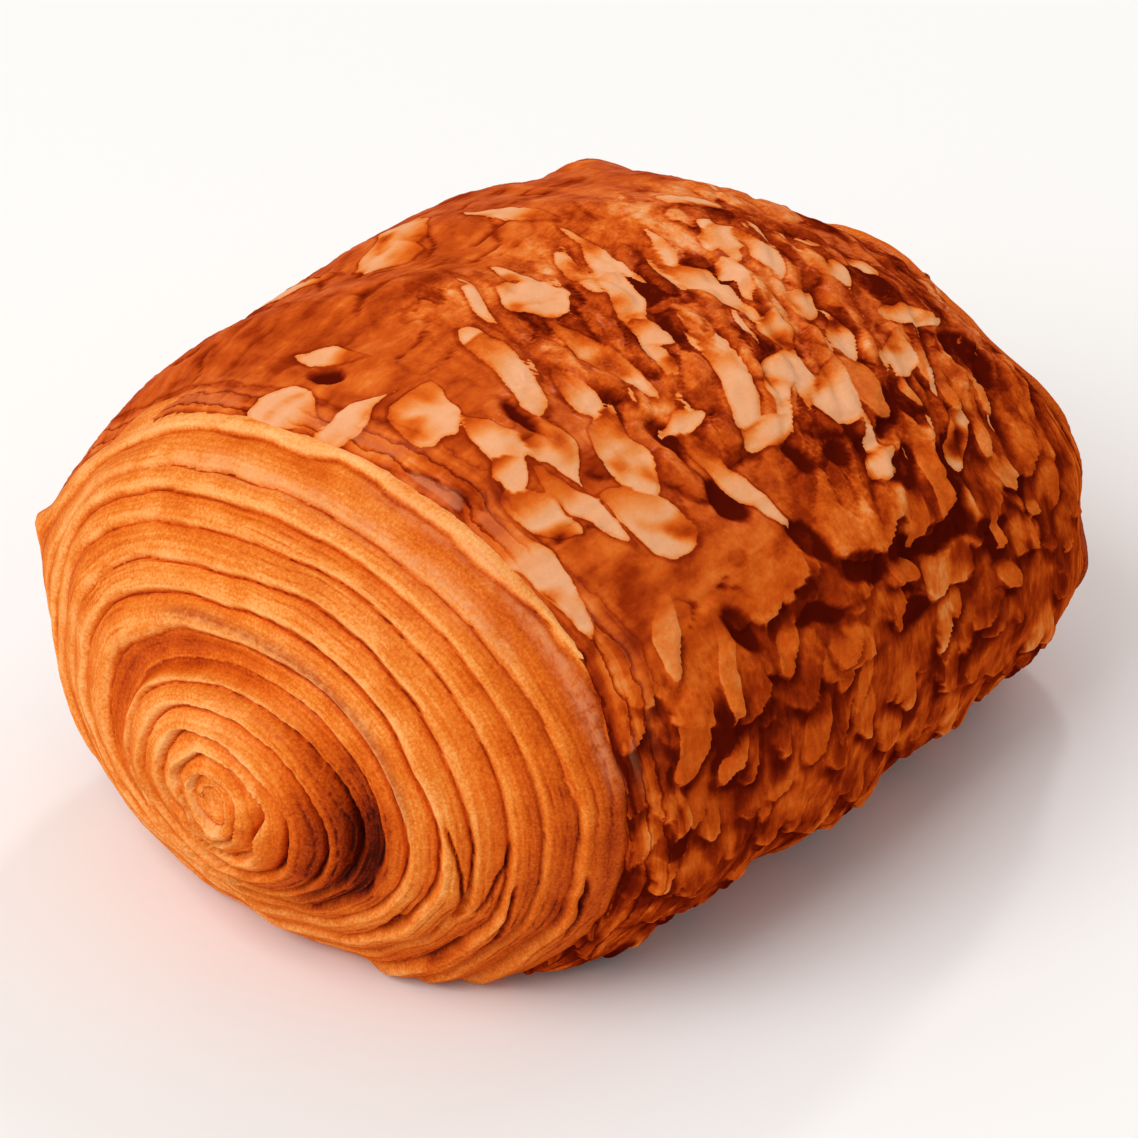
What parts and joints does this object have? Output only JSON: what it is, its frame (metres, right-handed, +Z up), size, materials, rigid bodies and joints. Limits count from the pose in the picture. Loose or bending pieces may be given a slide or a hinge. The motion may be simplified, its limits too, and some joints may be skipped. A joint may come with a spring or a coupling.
{
  "type": "pain au chocolat",
  "caption": "Baked pain au chocolat: a short laminated-dough roll with a spiral cone end, a rounded far end and a flat base to rest on.",
  "frame": {"origin": "middle of the footprint: centre of the bounding box in X and Y, at the level of the flat base", "axes": "+X along the roll's axis from the spiral cone end to the rounded end, +Z up from the flat base, -Y the flaky side that the picture shows"},
  "size_m": [0.103, 0.08, 0.055],
  "materials": {
    "crust": "egg-washed baked crust, glossy with flaky darker and paler patches"
  },
  "bodies": {
    "root": {"pastry": "crust"}
  },
  "joints": []
}
